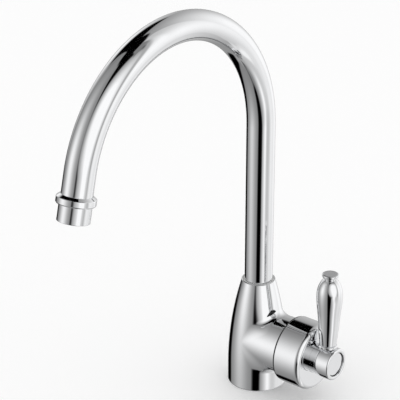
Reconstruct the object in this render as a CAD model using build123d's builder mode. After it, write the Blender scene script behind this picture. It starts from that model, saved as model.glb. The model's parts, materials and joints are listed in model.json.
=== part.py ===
from build123d import *

import os
from math import cos, radians, sin

# Three way filtered water tap: hot, cold and filtered water through one gooseneck spout.
# Origin: centre of the base on the worktop. +Z is up, the spout reaches out along -Y over
# the sink, and the valve and its lever stand out along +X. All sizes are in millimetres.

os.makedirs("parts", exist_ok=True)

# ---- Driving dimensions --------------------------------------------------------------
FIT = 0.06                 # radial running clearance of the parts that turn
SLIP = 0.05                # radial clearance of fixed parts that slide together

# Spout
TUBE_R = 12.5              # outside radius of the spout tube
TUBE_WALL = 1.3
RISER_TOP = 248.3          # height at which the straight riser goes over into the bend
BEND_R = 113.7             # centre line radius of the gooseneck
BEND_TURN = 166.4          # degrees that the bend turns through

# Body
BASE_R = 26.6
RIM_R = 15.2
RIM_Z = 101.3
EDGE_R = 1.0               # small rounded edges of the castings
SEAL_IN, SEAL_OUT = 20.5, 23.5     # rubber seal let into the underside

# Valve branch, along +X
VALVE_Z = 44.1
BRANCH_ROOT_R = 25.4
BRANCH_R = 26.6            # branch radius at the seam
SEAM_X = 39.8              # joint between branch and bonnet
SEAM = 1.2                 # width of that joint, which its gasket shows in
NECK_R, NECK_END = 23.5, 52.0      # threaded neck that the bonnet screws onto
BONNET_R = 30.3
BONNET_FACE_X = 67.1
BONNET_ROUND = 4.4         # rounding of the bonnet's front edge
STEM_R = 14.0              # neck of the hub, through the bonnet
BUSH_R = 16.8              # bush that the hub's neck turns in

# Handle
HUB_X0, HUB_X1 = 73.2, 87.5
HUB_R0, HUB_R1 = 14.4, 14.5
LEVER_X = 77.4             # axis of the upright lever
INDEX_R = 10.3             # round index plate, sunk in the hub's face
COLLAR_R = 8.2
COLLAR_Z0, COLLAR_Z1 = 58.6, 61.2
GRIP_Z0, GRIP_Z1 = 61.6, 125.0
FINIAL_R = 7.1
LEVER_TOP = 130.2
STUD_R = 3.0               # steel stud up the middle of the lever
FOOT_R = 5.6               # round foot of the lever, let into the hub

# Outlet, measured along the outlet's own axis from the end of the bend
BEAD_S0, BEAD_S1 = 15.9, 23.3
BEAD_R = 15.8
SHELL_R = 13.1
OUTLET_S = 37.2            # outlet's open end
THREAD_R = 11.6            # thread between collar and aerator shell
SHELL_BORE = 10.45
LIP = 2.3                  # inward lip that holds the aerator's insert

# Water ways
PORT_R = 4.5               # thread bore of an M10 hose tail
PORT_PCD = 17.0
PORT_DEPTH = 10.0
WATER_R = 3.0              # drillings for hot and cold water
LINE_R, LINE_BORE = 3.0, 2.0   # inner line of the filtered water
FILTER_R = 2.5             # drilling for filtered water
SOCKET_R = 10.0            # radius of the spout's spigot
SPIGOT_BORE = 6.0
SCREW_R = 2.5              # spout's retaining screw, an M5

# Cartridge
SEAT_X = 20.0              # floor of the cartridge bore
CARTRIDGE_R = 17.7
NUT_R = 19.0               # nut that holds the cartridge down
SHAFT_R = 7.0              # spindle
SQUARE = 5.0               # half the width of the spindle's square end
SPLINE_R = 5.0             # twelve sided end of the spindle, in the hub
DISC_R = 14.2              # ceramic disc that turns
PEG_R = 1.5                # pegs that key the cartridge to the body
PEGS = ((12.5, 0), (-12.5, 0))
DRIVE_PEG_R = 1.4          # pegs that turn the moving disc
DRIVE_PEGS = ((11, -4.5), (-11, -4.5))

# Fixing under the worktop
SHANK_R, SHANK_BORE = 16.4, 14.0   # hollow threaded shank for a 35 mm hole
SHANK_LOW = -58.0
PILOT_R = 15.9             # plain lead-in below the shank's thread
PILOT = 12.0
WORKTOP = 30.0             # worktop thickness that the clamp is drawn at
CLAMP_R = 26.0
NUT_FLAT = 22.0            # half the width across the nut's flats

# ---- Worked out places ---------------------------------------------------------------
ARC_MID = 1 - cos(radians(45))     # a quarter arc's middle lies this share of its radius in
TUBE_BORE = TUBE_R - TUBE_WALL
CLAMP_Z = -WORKTOP
WASHER_TOP, WASHER_LOW = CLAMP_Z - 3.05, CLAMP_Z - 5.6
NUT_TOP, NUT_LOW = CLAMP_Z - 5.7, CLAMP_Z - 14.0
SHANK_TOP = 10.0
PORT_Z = 12.0              # floor of the base recess, where the three ports open
PORT_TOP = PORT_Z + PORT_DEPTH
LINE_LOW = 54.0            # bottom of the filtered line's seat
LINE_SEAL_Z = 58.2
SOCKET_FLOOR = 62.0        # bottom of the spout's socket
SPIGOT_LOW = 64.5
RING_ZS = (68.0, 72.9)     # heights of the two seals on the spigot
GROOVE_Z = 78.0            # retaining groove of the spout
THRUST_Z = 84.3            # ledge that carries the spout's weight
TUBE_LOW = 85.4            # lower end of the spout tube, inside the body
BEARING_Z = 89.5
BEARING_R = 14.0
SPIGOT_TOP = 96.0
TUBE_END = 19.5            # tube's end, inside the outlet's collar
SHELL_TOP = 21.3
LINE_END = 30.0            # filtered line's end, inside the outlet
SPACER_TURNS = (12, 58, 104, 150)  # places of the line's spacers round the bend, in degrees

# along the valve
CARTRIDGE_X = SEAT_X + 0.6
DISC_X0, DISC_X1, DISC_X2 = 25.3, 29.3, 33.3   # faces of the two ceramic discs
SQUARE_X = 34.2            # bottom of the driver's square hole
HOUSING_WALL_X = 38.2
BONNET_X0 = SEAM_X + SEAM
NUT_SEAT = 44.2
SEAL_X = 48.0              # spindle's seal
HOUSING_END = 54.0
SPLINE_X = 56.0            # start of the spindle's twelve sided end
BUSH_X0, BUSH_X1 = 60.0, 65.3
HUB_NECK_X = 61.0
SPINDLE_END = 75.8
SCREW_HEAD_X = 80.0
INDEX_SEAT = 84.4
INDEX_FACE = 85.9

# up the lever
STUD_LOW, STUD_TOP = 51.0, 127.0
FOOT_Z = 54.0

VALVE_AXIS = Axis((0, 0, VALVE_Z), (1, 0, 0))
LEVER_AXIS = Axis((LEVER_X, 0, 0), (0, 0, 1))
LEVER_SIDE = Plane(origin=(LEVER_X, 0, 0), x_dir=(1, 0, 0), z_dir=(0, -1, 0))

# Places of the water ways on the cartridge's seat, as (y, height above the valve axis)
PORT_Y = PORT_PCD / 2 * sin(radians(60))
HOT = (PORT_Y, -6.1)
COLD = (-PORT_Y, -6.1)
FILTERED_IN = (0, 0)
FILTERED_OUT = (0, 7.5)
MIXED_OUT = (-7.0, 10.5)
MIXED_R = 2.8
FILTERED_OUT_R = 1.9
STEP = 0.25                # a riser's radius is this much under that of the drilling it meets
MIXER_PORTS = ((PORT_PCD / 4, PORT_Y), (PORT_PCD / 4, -PORT_Y))     # hot and cold, from below
FILTER_PORT = (-PORT_PCD / 2, 0)
WATER_WAYS = [(HOT, WATER_R), (COLD, WATER_R), (FILTERED_IN, FILTER_R),
              (FILTERED_OUT, FILTERED_OUT_R), (MIXED_OUT, MIXED_R)]


def deck(z):
    """A level plane at height z."""
    return Plane.XY.offset(z)


def valve(x):
    """A plane across the valve's axis at x, with +Y to its right and +Z up."""
    return Plane(origin=(x, 0, VALVE_Z), x_dir=(0, 1, 0), z_dir=(1, 0, 0))


def back(y):
    """A plane across the retaining screw at y, facing out of the body's back."""
    return Plane(origin=(0, y, GROOVE_Z), x_dir=(-1, 0, 0), z_dir=(0, 1, 0))


def lever(z):
    """A level plane across the lever's axis at height z."""
    return Plane(origin=(LEVER_X, 0, z))


def bend_point(turned):
    """The point of the gooseneck's centre line where it has turned through this angle."""
    return Vector(0, -BEND_R * (1 - cos(radians(turned))), RISER_TOP + BEND_R * sin(radians(turned)))


def bend_way(turned):
    """The centre line's direction at that point."""
    return Vector(0, -sin(radians(turned)), cos(radians(turned)))


def outlet(s):
    """A plane across the outlet's axis, s past the end of the bend, facing out of it."""
    way = bend_way(BEND_TURN)
    return Plane(origin=bend_point(BEND_TURN) + way * s, x_dir=(1, 0, 0), z_dir=way)


def spout_route(low, past_bend):
    """The spout's centre line: up the riser from height low, round the bend and straight on."""
    with BuildLine() as route:
        Line((0, 0, low), (0, 0, RISER_TOP))
        ThreePointArc(bend_point(0), bend_point(BEND_TURN / 2), bend_point(BEND_TURN))
        Line(bend_point(BEND_TURN), outlet(past_bend).origin)
    return route.line


def ring(across, start, end, r_out, r_in=0, mode=Mode.ADD):
    """Adds or cuts a straight ring, or a disc, between two places along an axis."""
    with BuildSketch(across(start)) as face:
        Circle(r_out)
        if r_in:
            Circle(r_in, mode=Mode.SUBTRACT)
    extrude(face.sketch, amount=end - start, mode=mode)


def pegs(across, start, end, radius, centres, mode=Mode.ADD):
    """Adds straight round pegs, at places given on the plane across their axis."""
    with BuildSketch(across(start)) as face:
        with Locations(*centres):
            Circle(radius)
    extrude(face.sketch, amount=end - start, mode=mode)


def bore(across, start, end, radius, centres=((0, 0),)):
    """Cuts straight round holes, at places given on the plane across their axis."""
    pegs(across, start, end, radius, centres, mode=Mode.SUBTRACT)


def polygon_bar(across, start, end, flat, sides, mode=Mode.ADD):
    """Adds or cuts a straight bar with flat sides, each this far from its axis."""
    with BuildSketch(across(start)) as face:
        RegularPolygon(radius=flat, side_count=sides, major_radius=False)
    extrude(face.sketch, amount=end - start, mode=mode)


def o_ring(plane, axis, centre, radius):
    """Adds a rubber ring, turned about the axis from a round section."""
    with BuildSketch(plane) as section:
        with Locations(centre):
            Circle(radius)
    revolve(section.sketch, axis=axis)


def turned(outline, plane, axis):
    """Adds a solid turned about the axis from an outline of straight lines in the plane."""
    with BuildSketch(plane) as half:
        with BuildLine():
            Polyline(*outline, close=True)
        make_face()
    revolve(half.sketch, axis=axis)


def keep(piece, name):
    """Labels a finished piece and writes it to its own file."""
    piece.part.label = name
    export_step(piece.part, f"parts/{name}.step")


# ---- Body and base -------------------------------------------------------------------
with BuildPart() as body_casting:
    # waisted column
    with BuildSketch(Plane.XZ):
        with BuildLine():
            Line((0, 0), (BASE_R - EDGE_R, 0))
            ThreePointArc((BASE_R - EDGE_R, 0), (BASE_R - ARC_MID * EDGE_R, ARC_MID * EDGE_R),
                          (BASE_R, EDGE_R))
            Spline((BASE_R, EDGE_R), (26.5, 27), (24.7, 52), (21.0, 76), (RIM_R, RIM_Z - EDGE_R),
                   tangents=((0, 1), (-0.27, 1)))
            ThreePointArc((RIM_R, RIM_Z - EDGE_R), (RIM_R - ARC_MID * EDGE_R, RIM_Z - ARC_MID * EDGE_R),
                          (RIM_R - EDGE_R, RIM_Z))
            Polyline((RIM_R - EDGE_R, RIM_Z), (0, RIM_Z), (0, 0))
        make_face()
    revolve(axis=Axis.Z)
    # valve branch and the neck that the bonnet screws onto
    with BuildSketch(valve(0)):
        Circle(BRANCH_ROOT_R)
    with BuildSketch(valve(SEAM_X)):
        Circle(BRANCH_R)
    loft()
    ring(valve, SEAM_X, NECK_END, NECK_R)
    # base: shank thread, port recess and seal groove
    ring(deck, 0, SHANK_TOP, SHANK_R + SLIP, mode=Mode.SUBTRACT)
    ring(deck, SHANK_TOP, PORT_Z, SHANK_BORE + 0.2, mode=Mode.SUBTRACT)
    ring(deck, 0, 2, SEAL_OUT + 0.1, SEAL_IN - 0.1, mode=Mode.SUBTRACT)
    # three hose ports: hot and cold towards the valve, filtered water at the far side
    bore(deck, PORT_Z, PORT_TOP, PORT_R, (*MIXER_PORTS, FILTER_PORT))
    bore(deck, PORT_TOP, VALVE_Z + HOT[1], WATER_R - STEP, MIXER_PORTS)
    bore(deck, PORT_TOP, VALVE_Z, FILTER_R - STEP, (FILTER_PORT,))
    # drillings from the cartridge's seat, each run a little past the riser it meets
    bore(valve, MIXER_PORTS[0][0] - WATER_R - 1, SEAT_X, WATER_R, (HOT, COLD))
    bore(valve, FILTER_PORT[0] - FILTER_R - 1, SEAT_X, FILTER_R, (FILTERED_IN,))
    bore(valve, -FILTERED_OUT_R - 1, SEAT_X, FILTERED_OUT_R, (FILTERED_OUT,))
    bore(valve, -MIXED_R - 1, SEAT_X, MIXED_R, (MIXED_OUT,))
    # risers to the spout's socket
    bore(deck, VALVE_Z + FILTERED_OUT[1], LINE_LOW, FILTERED_OUT_R - STEP)
    bore(deck, LINE_LOW, SOCKET_FLOOR, LINE_R + FIT)
    bore(deck, VALVE_Z + MIXED_OUT[1], SOCKET_FLOOR, MIXED_R - STEP, ((0, MIXED_OUT[0]),))
    # groove for the filtered line's seal
    ring(deck, LINE_SEAL_Z - 1.2, LINE_SEAL_Z + 1.2, LINE_R + 1.9, mode=Mode.SUBTRACT)
    # spout socket with its thrust ledge and bearing seat
    ring(deck, SOCKET_FLOOR, THRUST_Z, SOCKET_R + FIT, mode=Mode.SUBTRACT)
    ring(deck, THRUST_Z, BEARING_Z, TUBE_R + 0.3, mode=Mode.SUBTRACT)
    ring(deck, BEARING_Z, RIM_Z, BEARING_R, mode=Mode.SUBTRACT)
    # cartridge bore and the thread of its nut
    ring(valve, SEAT_X, NECK_END, CARTRIDGE_R + SLIP, mode=Mode.SUBTRACT)
    ring(valve, NUT_SEAT, NECK_END, NUT_R + SLIP, mode=Mode.SUBTRACT)
    bore(valve, SEAT_X - 3.2, SEAT_X, PEG_R + 0.1, PEGS)
    # tapped hole for the spout's retaining screw, at the back
    bore(back, 8, BASE_R, SCREW_R)
keep(body_casting, "body_casting")

with BuildPart() as base_seal:
    ring(deck, 0.05, 1.95, SEAL_OUT, SEAL_IN)
    fillet(base_seal.edges().group_by(Axis.Z)[0], 0.4)
keep(base_seal, "base_seal")

with BuildPart() as mounting_shank:
    ring(deck, SHANK_LOW, SHANK_LOW + PILOT, PILOT_R, SHANK_BORE)
    ring(deck, SHANK_LOW + PILOT, SHANK_TOP - 0.1, SHANK_R, SHANK_BORE)
keep(mounting_shank, "mounting_shank")

with BuildPart() as clamp_gasket:
    ring(deck, WASHER_TOP + 0.05, CLAMP_Z, CLAMP_R, SHANK_R + 0.4)
keep(clamp_gasket, "clamp_gasket")

with BuildPart() as clamp_washer:
    ring(deck, WASHER_LOW, WASHER_TOP, CLAMP_R, SHANK_R + 0.4)
    fillet(clamp_washer.edges().group_by(Axis.Z)[0].sort_by(SortBy.RADIUS)[-1], 0.6)
keep(clamp_washer, "clamp_washer")

with BuildPart() as shank_nut:
    polygon_bar(deck, NUT_LOW, NUT_TOP, NUT_FLAT, 6)
    ring(deck, NUT_LOW, NUT_TOP, SHANK_R + SLIP, mode=Mode.SUBTRACT)
    # turned corners, as on a machined nut
    with BuildSketch(Plane.XZ):
        with Locations((NUT_FLAT / cos(radians(30)) + 0.2, NUT_LOW)):
            Rectangle(3.4, 3.4, rotation=45)
    revolve(axis=Axis.Z, mode=Mode.SUBTRACT)
keep(shank_nut, "shank_nut")

# ---- Spout bearing, fixed in the body ------------------------------------------------
with BuildPart() as spout_bearing_ring:
    ring(deck, BEARING_Z + 0.1, RIM_Z - 1.2, BEARING_R - SLIP, TUBE_R + FIT)
keep(spout_bearing_ring, "spout_bearing_ring")

with BuildPart() as spout_thrust_washer:
    ring(deck, THRUST_Z, TUBE_LOW - 0.1, TUBE_R + 0.2, SOCKET_R + 0.2)
keep(spout_thrust_washer, "spout_thrust_washer")

with BuildPart() as spout_retaining_screw:
    # dog point in the spigot's groove, so that the spout turns but can't lift out
    ring(back, 9, 10.8, 1.2)
    ring(back, 10.8, 17.8, SCREW_R - SLIP)
    polygon_bar(back, 17.8, 15.2, 1.25, 6, mode=Mode.SUBTRACT)
keep(spout_retaining_screw, "spout_retaining_screw")

with BuildPart() as filter_line_seal:
    o_ring(Plane.XZ, Axis.Z, (LINE_R + FIT + 0.85, LINE_SEAL_Z), 0.8)
keep(filter_line_seal, "filter_line_seal")

# ---- Spout ---------------------------------------------------------------------------
with BuildPart() as spout_tube:
    with BuildSketch(deck(TUBE_LOW)):
        Circle(TUBE_R)
        Circle(TUBE_BORE, mode=Mode.SUBTRACT)
    sweep(path=spout_route(TUBE_LOW, TUBE_END))
keep(spout_tube, "spout_tube")

with BuildPart() as spout_spigot:
    ring(deck, SPIGOT_LOW, TUBE_LOW, SOCKET_R)
    ring(deck, TUBE_LOW, SPIGOT_TOP, TUBE_BORE - SLIP)
    ring(deck, SPIGOT_LOW, SPIGOT_TOP, SPIGOT_BORE, mode=Mode.SUBTRACT)
    for height in RING_ZS:
        ring(deck, height - 1.4, height + 1.4, SOCKET_R + 1, 7.5, mode=Mode.SUBTRACT)
    ring(deck, GROOVE_Z - 1.6, GROOVE_Z + 1.6, SOCKET_R + 1, 8.6, mode=Mode.SUBTRACT)
    chamfer(spout_spigot.edges().group_by(Axis.Z)[0].sort_by(SortBy.RADIUS)[-1], 0.8)
keep(spout_spigot, "spout_spigot")

with BuildPart() as spigot_o_rings:
    for height in RING_ZS:
        o_ring(Plane.XZ, Axis.Z, (SOCKET_R - 1.25, height), 1.2)
keep(spigot_o_rings, "spigot_o_rings")

with BuildPart() as filtered_water_line:
    with BuildSketch(deck(LINE_LOW + 0.4)):
        Circle(LINE_R)
        Circle(LINE_BORE, mode=Mode.SUBTRACT)
    sweep(path=spout_route(LINE_LOW + 0.4, LINE_END))
keep(filtered_water_line, "filtered_water_line")

with BuildPart() as line_spacers:
    for turn in SPACER_TURNS:
        across_bend = Plane(origin=bend_point(turn), x_dir=(1, 0, 0), z_dir=bend_way(turn))
        with BuildSketch(across_bend) as star:
            Circle(LINE_R + 1.2)
            with PolarLocations(radius=(LINE_R + TUBE_BORE) / 2, count=3, start_angle=90):
                Rectangle(TUBE_BORE - LINE_R - 0.4, 2)
            Circle(LINE_R + 0.1, mode=Mode.SUBTRACT)
        extrude(star.sketch, amount=1.5, both=True)
keep(line_spacers, "line_spacers")

# ---- Outlet --------------------------------------------------------------------------
OUTLET_SIDE = Plane(origin=bend_point(BEND_TURN), x_dir=(1, 0, 0),
                    z_dir=Vector(1, 0, 0).cross(bend_way(BEND_TURN)))
OUTLET_AXIS = Axis(bend_point(BEND_TURN), bend_way(BEND_TURN))
with BuildPart() as nozzle_collar:
    turned([(TUBE_R + SLIP, BEAD_S0), (TUBE_R + 0.5, BEAD_S0), (BEAD_R - 0.3, BEAD_S0 + 1.9),
            (BEAD_R, BEAD_S0 + 2.3), (BEAD_R, BEAD_S1 - 0.9), (BEAD_R - 0.6, BEAD_S1),
            (THREAD_R + SLIP, BEAD_S1), (THREAD_R + SLIP, TUBE_END + 0.1),
            (TUBE_R + SLIP, TUBE_END + 0.1)], OUTLET_SIDE, OUTLET_AXIS)
keep(nozzle_collar, "nozzle_collar")

with BuildPart() as aerator_shell:
    turned([(SHELL_BORE, SHELL_TOP), (THREAD_R, SHELL_TOP), (THREAD_R, BEAD_S1 + 0.15),
            (SHELL_R, BEAD_S1 + 0.15), (SHELL_R, OUTLET_S - 0.3), (SHELL_R - 0.3, OUTLET_S),
            (SHELL_BORE - 0.1, OUTLET_S), (SHELL_BORE - 0.6, OUTLET_S - LIP),
            (SHELL_BORE, OUTLET_S - LIP)], OUTLET_SIDE, OUTLET_AXIS)
keep(aerator_shell, "aerator_shell")

with BuildPart() as aerator_washer:
    ring(outlet, TUBE_END + 0.15, SHELL_TOP - 0.05, THREAD_R - 0.1, 9.2)
keep(aerator_washer, "aerator_washer")

with BuildPart() as aerator_insert:
    ring(outlet, SHELL_TOP + 0.2, OUTLET_S - LIP - 0.05, SHELL_BORE - SLIP, LINE_R + 0.3)
    # rings of jets round the filtered water's own outlet
    for jet_ring_r, jets in ((5.2, 12), (7.2, 18), (9.0, 24)):
        with BuildSketch(outlet(SHELL_TOP)):
            with PolarLocations(radius=jet_ring_r, count=jets):
                Circle(0.75)
        extrude(amount=OUTLET_S - SHELL_TOP, mode=Mode.SUBTRACT)
keep(aerator_insert, "aerator_insert")

with BuildPart() as filtered_jet:
    turned([(1.6, LINE_END + 0.05), (LINE_R, LINE_END + 0.05), (LINE_R, OUTLET_S - 2),
            (2.4, OUTLET_S - 0.6), (1.6, OUTLET_S - 0.6)], OUTLET_SIDE, OUTLET_AXIS)
keep(filtered_jet, "filtered_jet")

# ---- Cartridge, fixed pieces ---------------------------------------------------------
with BuildPart() as cartridge_base:
    ring(valve, CARTRIDGE_X, DISC_X0, CARTRIDGE_R - 0.2)
    pegs(valve, CARTRIDGE_X - 3, CARTRIDGE_X + 0.5, PEG_R, PEGS)
    for place, radius in WATER_WAYS:
        bore(valve, CARTRIDGE_X, DISC_X0, radius, (place,))
        bore(valve, CARTRIDGE_X, CARTRIDGE_X + 1.4, radius + 1.25, (place,))
keep(cartridge_base, "cartridge_base")

with BuildPart() as cartridge_port_seals:
    for place, radius in WATER_WAYS:
        with BuildSketch(valve(SEAT_X + 0.02)) as seal_face:
            with Locations(place):
                Circle(radius + 1.15)
                Circle(radius + 0.1, mode=Mode.SUBTRACT)
        extrude(seal_face.sketch, amount=CARTRIDGE_X + 1.35 - SEAT_X)
keep(cartridge_port_seals, "cartridge_port_seals")

with BuildPart() as fixed_ceramic_disc:
    ring(valve, DISC_X0, DISC_X1, DISC_R + 0.6)
    for place, radius in WATER_WAYS:
        bore(valve, DISC_X0, DISC_X1, radius, (place,))
keep(fixed_ceramic_disc, "fixed_ceramic_disc")

with BuildPart() as cartridge_housing:
    ring(valve, DISC_X0, NUT_SEAT - 0.2, CARTRIDGE_R, DISC_R + 0.7)
    ring(valve, HOUSING_WALL_X, NUT_SEAT - 0.2, CARTRIDGE_R, SHAFT_R + FIT)
    ring(valve, NUT_SEAT - 0.2, HOUSING_END, 10.3, SHAFT_R + FIT)
keep(cartridge_housing, "cartridge_housing")

with BuildPart() as cartridge_nut:
    ring(valve, NUT_SEAT, NECK_END - 0.4, NUT_R, 10.4)
    # spanner slots in the front face
    with BuildSketch(valve(NECK_END - 3.4)):
        with PolarLocations(radius=17, count=4):
            Rectangle(5, 4)
    extrude(amount=4, mode=Mode.SUBTRACT)
keep(cartridge_nut, "cartridge_nut")

# ---- Bonnet --------------------------------------------------------------------------
with BuildPart() as bonnet:
    ring(valve, BONNET_X0, BONNET_FACE_X, BONNET_R)
    fillet(bonnet.edges().group_by(Axis.X)[-1], BONNET_ROUND)
    chamfer(bonnet.edges().group_by(Axis.X)[0], 0.5)
    ring(valve, BONNET_X0, NECK_END, NECK_R + SLIP, mode=Mode.SUBTRACT)
    ring(valve, NECK_END, BUSH_X0 + 1.5, 25.6, mode=Mode.SUBTRACT)
    ring(valve, BUSH_X0 + 1.5, BUSH_X1, BUSH_R + SLIP, mode=Mode.SUBTRACT)
    ring(valve, BUSH_X1, BONNET_FACE_X, STEM_R + 0.3, mode=Mode.SUBTRACT)
keep(bonnet, "bonnet")

with BuildPart() as bonnet_gasket:
    ring(valve, SEAM_X + 0.02, BONNET_X0 - 0.02, BONNET_R - 0.5, NECK_R + SLIP)
keep(bonnet_gasket, "bonnet_gasket")

with BuildPart() as stem_bush:
    ring(valve, BUSH_X0, BUSH_X1 - 0.05, BUSH_R, STEM_R + FIT)
keep(stem_bush, "stem_bush")

# ---- Turning parts of the valve ------------------------------------------------------
with BuildPart() as moving_ceramic_disc:
    ring(valve, DISC_X1 + 0.03, DISC_X2, DISC_R)
    # hollows that join the water ways: a bent one for mixed water, a straight one for filtered
    with BuildSketch(valve(DISC_X1)):
        with Locations((-3.75, 0)):
            SlotOverall(11.3, 3.8)
        with BuildLine():
            CenterArc((0, 0), 11, 20, 90)
        offset(amount=2.2)
    extrude(amount=2.6, mode=Mode.SUBTRACT)
    bore(valve, DISC_X2 - 1.2, DISC_X2, DRIVE_PEG_R + 0.1, DRIVE_PEGS)
keep(moving_ceramic_disc, "moving_ceramic_disc")

with BuildPart() as disc_driver:
    ring(valve, DISC_X2 + 0.03, HOUSING_WALL_X - 1, DISC_R - 0.6)
    pegs(valve, DISC_X2 - 1.1, DISC_X2 + 0.4, DRIVE_PEG_R, DRIVE_PEGS)
    polygon_bar(valve, SQUARE_X, HOUSING_WALL_X, SQUARE + 0.1, 4, mode=Mode.SUBTRACT)
keep(disc_driver, "disc_driver")

with BuildPart() as cartridge_spindle:
    polygon_bar(valve, SQUARE_X + 0.2, HOUSING_WALL_X - 0.4, SQUARE, 4)
    ring(valve, HOUSING_WALL_X - 0.8, SPLINE_X, SHAFT_R)
    with BuildSketch(valve(SPLINE_X)):
        RegularPolygon(radius=SPLINE_R, side_count=12)
    extrude(amount=SPINDLE_END - SPLINE_X)
    ring(valve, SEAL_X - 1.4, SEAL_X + 1.4, SHAFT_R + 1, SHAFT_R - 1.9, mode=Mode.SUBTRACT)
    bore(valve, SPINDLE_END - 9.8, SPINDLE_END, 2.05)
keep(cartridge_spindle, "cartridge_spindle")

with BuildPart() as spindle_seal:
    o_ring(Plane.XZ, VALVE_AXIS, (SEAL_X, VALVE_Z + SHAFT_R - 0.9), 0.9)
keep(spindle_seal, "spindle_seal")

# ---- Handle --------------------------------------------------------------------------
with BuildPart() as lever_hub:
    turned([(HUB_NECK_X, VALVE_Z), (HUB_NECK_X, VALVE_Z + STEM_R), (HUB_X0, VALVE_Z + STEM_R),
            (HUB_X0, VALVE_Z + HUB_R0 - 0.3), (HUB_X0 + 0.3, VALVE_Z + HUB_R0),
            (HUB_X1, VALVE_Z + HUB_R1), (HUB_X1, VALVE_Z)], Plane.XZ, VALVE_AXIS)
    fillet(lever_hub.edges().group_by(Axis.X)[-1], 1.6)
    # seat on the spindle, and the hole of the screw that holds it there
    with BuildSketch(valve(HUB_NECK_X)):
        RegularPolygon(radius=SPLINE_R + SLIP, side_count=12)
    extrude(amount=SPINDLE_END + 0.2 - HUB_NECK_X, mode=Mode.SUBTRACT)
    bore(valve, SPINDLE_END + 0.2, SCREW_HEAD_X, 2.15)
    bore(valve, SCREW_HEAD_X, HUB_X1, 4.2)
    # recess of the index plate, with a rounded mouth
    bore(valve, INDEX_SEAT, HUB_X1, INDEX_R + 0.7)
    fillet(lever_hub.edges().group_by(Axis.X)[-1].sort_by(SortBy.RADIUS)[0], 0.8)
    # seat of the lever's foot, and the hole of its stud
    bore(lever, FOOT_Z, COLLAR_Z1, FOOT_R + SLIP)
    bore(lever, STUD_LOW - 0.2, FOOT_Z, STUD_R + SLIP)
keep(lever_hub, "lever_hub")

with BuildPart() as hub_screw:
    ring(valve, SPINDLE_END - 8.8, SCREW_HEAD_X + 0.1, 2.0)
    ring(valve, SCREW_HEAD_X + 0.05, SCREW_HEAD_X + 4, 3.5)
    polygon_bar(valve, SCREW_HEAD_X + 4, SCREW_HEAD_X + 1.6, 1.5, 6, mode=Mode.SUBTRACT)
keep(hub_screw, "hub_screw")

with BuildPart() as index_ring:
    ring(valve, INDEX_SEAT + 0.05, INDEX_FACE - 0.4, INDEX_R + 0.65, INDEX_R + 0.05)
keep(index_ring, "index_ring")

with BuildPart() as index_plate:
    ring(valve, INDEX_SEAT + 0.05, INDEX_FACE, INDEX_R)
    fillet(index_plate.edges().group_by(Axis.X)[-1], 0.3)
keep(index_plate, "index_plate")

with BuildPart() as lever_collar:
    turned([(STUD_R + SLIP, FOOT_Z + 0.05), (FOOT_R, FOOT_Z + 0.05), (FOOT_R, COLLAR_Z0),
            (COLLAR_R, COLLAR_Z0), (COLLAR_R, COLLAR_Z1), (6.6, COLLAR_Z1 + 0.35),
            (STUD_R + SLIP, COLLAR_Z1 + 0.35)], LEVER_SIDE, LEVER_AXIS)
    fillet(lever_collar.edges().filter_by(GeomType.CIRCLE).sort_by(SortBy.RADIUS)[-2:], 0.9)
keep(lever_collar, "lever_collar")

with BuildPart() as lever_grip:
    with BuildSketch(LEVER_SIDE):
        with BuildLine():
            Polyline((STUD_R + SLIP, GRIP_Z1), (STUD_R + SLIP, GRIP_Z0), (6.4, GRIP_Z0))
            ThreePointArc((6.4, GRIP_Z0), (7.2, GRIP_Z0 + 0.35), (7.6, GRIP_Z0 + 1.2))
            Spline((7.6, GRIP_Z0 + 1.2), (8.9, 76), (9.9, 90), (11.4, 109.2), (10.7, 115.5),
                   (8.3, 121.5), (5.3, GRIP_Z1), tangents=((0.1, 1), (-0.8, 0.6)))
            Line((5.3, GRIP_Z1), (STUD_R + SLIP, GRIP_Z1))
        make_face()
    revolve(axis=LEVER_AXIS)
keep(lever_grip, "lever_grip")

with BuildPart() as lever_finial:
    with BuildSketch(LEVER_SIDE):
        with BuildLine():
            Line((0, LEVER_TOP - 0.8), (6.2, LEVER_TOP - 0.8))
            Line((6.2, LEVER_TOP - 0.8), (6.2, LEVER_TOP - 0.2))
            ThreePointArc((6.2, LEVER_TOP - 0.2), (FINIAL_R - 0.1, LEVER_TOP - 0.9), (FINIAL_R, 128))
            ThreePointArc((FINIAL_R, 128), (6.5, 126.7), (5.2, 126.2))
            Polyline((5.2, 126.2), (5.2, GRIP_Z1 + 0.05), (STUD_R + SLIP, GRIP_Z1 + 0.05),
                     (STUD_R + SLIP, STUD_TOP + 0.2), (0, STUD_TOP + 0.2), (0, LEVER_TOP - 0.8))
        make_face()
    revolve(axis=LEVER_AXIS)
keep(lever_finial, "lever_finial")

with BuildPart() as finial_disc:
    ring(lever, LEVER_TOP - 0.75, LEVER_TOP - 0.1, FINIAL_R - 1)
    fillet(finial_disc.edges().group_by(Axis.Z)[-1], 0.25)
keep(finial_disc, "finial_disc")

with BuildPart() as lever_stud:
    ring(lever, STUD_LOW, STUD_TOP, STUD_R)
    chamfer(lever_stud.edges(), 0.5)
keep(lever_stud, "lever_stud")
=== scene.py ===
"""Three way filtered water tap: the chromed shells, the finishes and the studio.

The CAD model is loaded as the frame. Every surface that the light plays on is built again
here as a fine grid, worked out from the frame's own boxes, and stands for its CAD node.
Lengths are in metres. +Z is up, the spout reaches out along -Y and the valve along +X.
"""

import json
import math
import typing

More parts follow.
